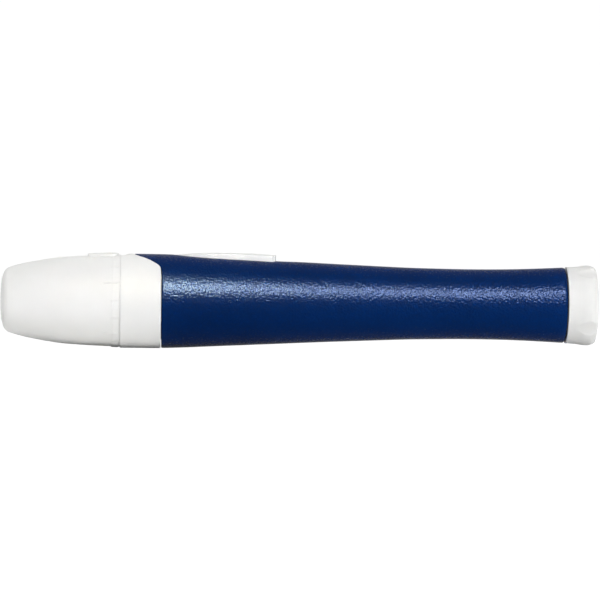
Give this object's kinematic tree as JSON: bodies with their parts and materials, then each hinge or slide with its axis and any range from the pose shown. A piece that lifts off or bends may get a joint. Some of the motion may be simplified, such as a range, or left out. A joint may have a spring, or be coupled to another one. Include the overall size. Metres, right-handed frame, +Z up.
{
  "type": "lancing device",
  "caption": "Pen-shaped lancing device with a turning depth dial on its pull-off nose cap, a release button on top, a waisted textured barrel and a cocking knob at the tail.",
  "frame": {"origin": "centre of the bounding box, on the surface the pen lies on", "axes": "+X from the nose towards the cocking knob, +Z up through the release button"},
  "size_m": [0.1079, 0.017, 0.0173],
  "materials": {
    "white_shell": "fine satin moulded white",
    "white_button": "smooth white",
    "blue_barrel": "fine mould texture, satin",
    "inner_plastic": "natural grey-white moulded",
    "carrier_plastic": "white moulded",
    "spring_steel": "bright drawn wire"
  },
  "bodies": {
    "handle": {"barrel": "blue_barrel", "nose_collar": "inner_plastic", "chassis_left": "inner_plastic", "chassis_right": "inner_plastic", "spring_washer": "spring_steel", "rear_guide": "inner_plastic", "button_spring": "spring_steel", "drive_spring": "spring_steel", "return_spring": "spring_steel", "knob_spring": "spring_steel"},
    "cap": {"cap_base": "white_shell", "click_ring": "spring_steel"},
    "dial": {"depth_dial": "white_shell", "depth_cam": "inner_plastic"},
    "button": {"release_button": "white_button"},
    "carrier": {"lancet_cup": "carrier_plastic", "carrier_shaft": "carrier_plastic", "spring_collar": "carrier_plastic", "shaft_head": "carrier_plastic"},
    "knob": {"cocking_knob": "white_shell", "cocking_sleeve": "inner_plastic"}
  },
  "joints": [
    {"name": "cap_pull", "type": "slide", "parent": "handle", "child": "cap", "axis": [-1, 0, 0], "range_m": [0, 0.034]},
    {"name": "dial_turn", "type": "hinge", "parent": "cap", "child": "dial", "pos_m": [-0.043, 0, 0.0085], "axis": [1, 0, 0], "range_deg": [-67.5, 67.5]},
    {"name": "button_press", "type": "slide", "parent": "handle", "child": "button", "axis": [0, 0, -1], "range_m": [0, 0.001], "stiffness_N_per_m": 600, "springref_m": -0.0005, "deforming": ["button_spring"]},
    {"name": "knob_pull", "type": "slide", "parent": "handle", "child": "knob", "axis": [1, 0, 0], "range_m": [0, 0.007], "stiffness_N_per_m": 300, "springref_m": -0.004, "deforming": ["knob_spring"]},
    {"name": "carrier_slide", "type": "slide", "parent": "handle", "child": "carrier", "axis": [1, 0, 0], "range_m": [-0.0025, 0.007], "stiffness_N_per_m": 400, "deforming": ["return_spring", "drive_spring"]}
  ],
  "couplings": [
    {"joint": "carrier_slide", "follows": "knob_pull", "ratio": 1}
  ]
}
